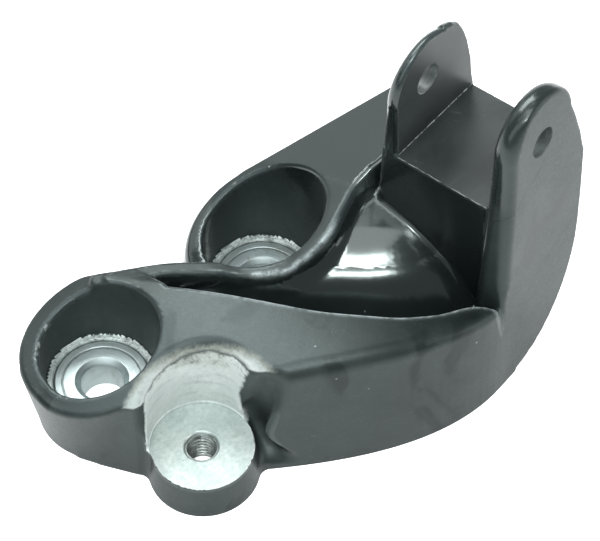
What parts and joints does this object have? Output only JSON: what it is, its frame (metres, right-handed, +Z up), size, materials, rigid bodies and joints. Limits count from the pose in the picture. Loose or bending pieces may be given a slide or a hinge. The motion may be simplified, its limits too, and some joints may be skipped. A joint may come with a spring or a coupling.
{
  "type": "two-bolt clevis bracket",
  "caption": "Black cast bracket with two deep counterbored bolt lugs, a tapped ear with a bare machined face, and a clevis with pin holes over a flat ledge.",
  "frame": {"origin": "midway between the two bolt bores, on the mounting face", "axes": "+X from the front bolt bore to the rear bolt bore, +Z up out of the mounting face, along both bolt bores"},
  "size_m": [0.1315, 0.0815, 0.0932],
  "materials": {
    "black_casting": "black coat over cast aluminium, satin on the flats and glossy in the pocket, bare at the machined ear",
    "seat_sleeve": "turned and plated, ring-worn where a bolt head has sat",
    "thread_insert": "wound wire, dull"
  },
  "bodies": {
    "root": {"bracket_casting": "black_casting", "front_seat_sleeve": "seat_sleeve", "rear_seat_sleeve": "seat_sleeve", "ear_thread_insert": "thread_insert"}
  },
  "joints": []
}
